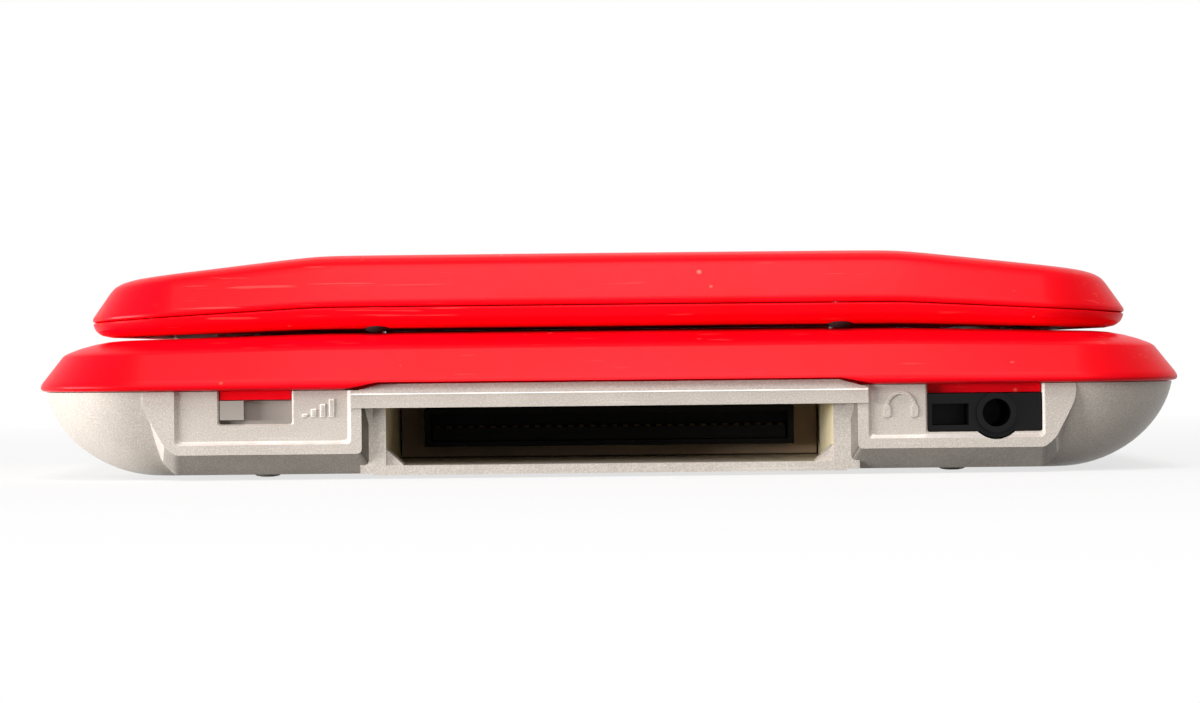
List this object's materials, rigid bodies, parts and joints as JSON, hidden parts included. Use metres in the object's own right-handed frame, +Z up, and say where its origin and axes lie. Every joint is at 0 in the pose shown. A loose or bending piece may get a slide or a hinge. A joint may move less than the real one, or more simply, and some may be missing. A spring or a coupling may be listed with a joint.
{
  "type": "clamshell handheld game console",
  "caption": "Clamshell handheld game console: hinged lid with a screen over a base with a touch screen, direction pad, buttons, a wide cartridge slot in front and a card slot behind.",
  "frame": {"origin": "centre of the closed console's footprint, on the surface that its feet stand on", "axes": "+X to the player's right, +Y from the player's edge to the hinge at the back, +Z up out of the lid; the lid is closed"},
  "size_m": [0.1486, 0.0848, 0.0289],
  "materials": {
    "lid_red": "gloss",
    "base_red": "gloss",
    "silver_plastic": "satin",
    "black_plastic": "satin",
    "grey_plastic": "satin",
    "button_plastic": "satin",
    "rubber_pad": "matte",
    "silicone": "matte",
    "board": "satin",
    "cell": "matte",
    "shield_steel": "satin",
    "screw_steel": "satin",
    "hinge_steel": "polished",
    "contact_brass": "polished",
    "screen_glass": "gloss",
    "display_glass": "satin",
    "light_guide": "gloss",
    "flex_film": "satin"
  },
  "bodies": {
    "base": {"base_bottom_shell": "silver_plastic", "base_front_wall": "silver_plastic", "base_back_wall": "silver_plastic", "slot_guide": "silver_plastic", "inner_frame": "grey_plastic", "board_spacers": "grey_plastic", "base_top_shell": "base_red", "battery_cover": "silver_plastic", "battery_pack": "cell", "battery_contacts": "contact_brass", "main_board": "board", "cartridge_connector": "black_plastic", "cartridge_contacts": "contact_brass", "card_cage": "shield_steel", "card_connector": "black_plastic", "power_socket": "black_plastic", "headphone_jack": "black_plastic", "volume_control": "grey_plastic", "touch_panel": "screen_glass", "lower_lcd": "display_glass", "lower_lcd_frame": "shield_steel", "radio_module": "shield_steel", "microphone": "black_plastic", "status_lights": "light_guide", "dpad_membrane": "silicone", "action_membrane": "silicone", "system_membrane": "silicone", "power_switch": "grey_plastic", "shoulder_pins": "hinge_steel", "shoulder_springs": "hinge_steel", "shoulder_switches": "black_plastic", "strap_bar": "hinge_steel", "base_screws": "screw_steel", "rubber_feet": "rubber_pad", "board_flex_cable": "flex_film", "hinge_shaft": "hinge_steel", "hinge_bush": "grey_plastic"},
    "lid": {"lid_bezel": "lid_red", "lid_cover": "lid_red", "upper_lens": "screen_glass", "upper_lcd": "display_glass", "upper_lcd_frame": "shield_steel", "speakers": "black_plastic", "lid_screws": "screw_steel", "lid_bumpers": "rubber_pad", "hinge_cam": "hinge_steel", "lid_flex_cable": "flex_film"},
    "volume_knob": {"volume_slider": "grey_plastic"},
    "dpad_gimbal": {"dpad_hub": "silicone"},
    "dpad_pad": {"dpad": "button_plastic"},
    "a_key": {"button_a": "button_plastic"},
    "b_key": {"button_b": "button_plastic"},
    "x_key": {"button_x": "button_plastic"},
    "y_key": {"button_y": "button_plastic"},
    "start_key": {"button_start": "button_plastic"},
    "select_key": {"button_select": "button_plastic"},
    "power_key": {"power_button": "button_plastic"},
    "left_trigger": {"shoulder_left": "silver_plastic"},
    "right_trigger": {"shoulder_right": "silver_plastic"},
    "stylus_pen": {"stylus": "silver_plastic"}
  },
  "joints": [
    {"name": "lid_hinge", "type": "hinge", "parent": "base", "child": "lid", "pos_m": [0, 0.0376, 0.0226], "axis": [-1, 0, 0], "range_deg": [0, 155]},
    {"name": "volume_slide", "type": "slide", "parent": "base", "child": "volume_knob", "axis": [1, 0, 0], "range_m": [0, 0.0058]},
    {"name": "dpad_tilt_left_right", "type": "hinge", "parent": "base", "child": "dpad_gimbal", "pos_m": [-0.05, -0.001, 0.0131], "axis": [0, 1, 0], "range_deg": [-3.5, 3.5], "stiffness_Nm_per_rad": 0.02},
    {"name": "dpad_tilt_up_down", "type": "hinge", "parent": "dpad_gimbal", "child": "dpad_pad", "pos_m": [-0.05, -0.001, 0.0131], "axis": [1, 0, 0], "range_deg": [-3.5, 3.5], "stiffness_Nm_per_rad": 0.02},
    {"name": "a_press", "type": "slide", "parent": "base", "child": "a_key", "axis": [0, 0, -1], "range_m": [0, 0.0007], "stiffness_N_per_m": 200},
    {"name": "b_press", "type": "slide", "parent": "base", "child": "b_key", "axis": [0, 0, -1], "range_m": [0, 0.0007], "stiffness_N_per_m": 200},
    {"name": "x_press", "type": "slide", "parent": "base", "child": "x_key", "axis": [0, 0, -1], "range_m": [0, 0.0007], "stiffness_N_per_m": 200},
    {"name": "y_press", "type": "slide", "parent": "base", "child": "y_key", "axis": [0, 0, -1], "range_m": [0, 0.0007], "stiffness_N_per_m": 200},
    {"name": "start_press", "type": "slide", "parent": "base", "child": "start_key", "axis": [0, 0, -1], "range_m": [0, 0.0007], "stiffness_N_per_m": 200},
    {"name": "select_press", "type": "slide", "parent": "base", "child": "select_key", "axis": [0, 0, -1], "range_m": [0, 0.0007], "stiffness_N_per_m": 200},
    {"name": "power_press", "type": "slide", "parent": "base", "child": "power_key", "axis": [0, 0, -1], "range_m": [0, 0.0007], "stiffness_N_per_m": 200},
    {"name": "left_trigger_pivot", "type": "hinge", "parent": "base", "child": "left_trigger", "pos_m": [-0.0475, 0.0355, 0.011], "axis": [0, 0, 1], "range_deg": [0, 2.5], "stiffness_Nm_per_rad": 0.05},
    {"name": "right_trigger_pivot", "type": "hinge", "parent": "base", "child": "right_trigger", "pos_m": [0.0475, 0.0355, 0.011], "axis": [0, 0, -1], "range_deg": [0, 2.5], "stiffness_Nm_per_rad": 0.05},
    {"name": "stylus_slide", "type": "slide", "parent": "base", "child": "stylus_pen", "axis": [0, 1, 0], "range_m": [0, 0.079]}
  ]
}
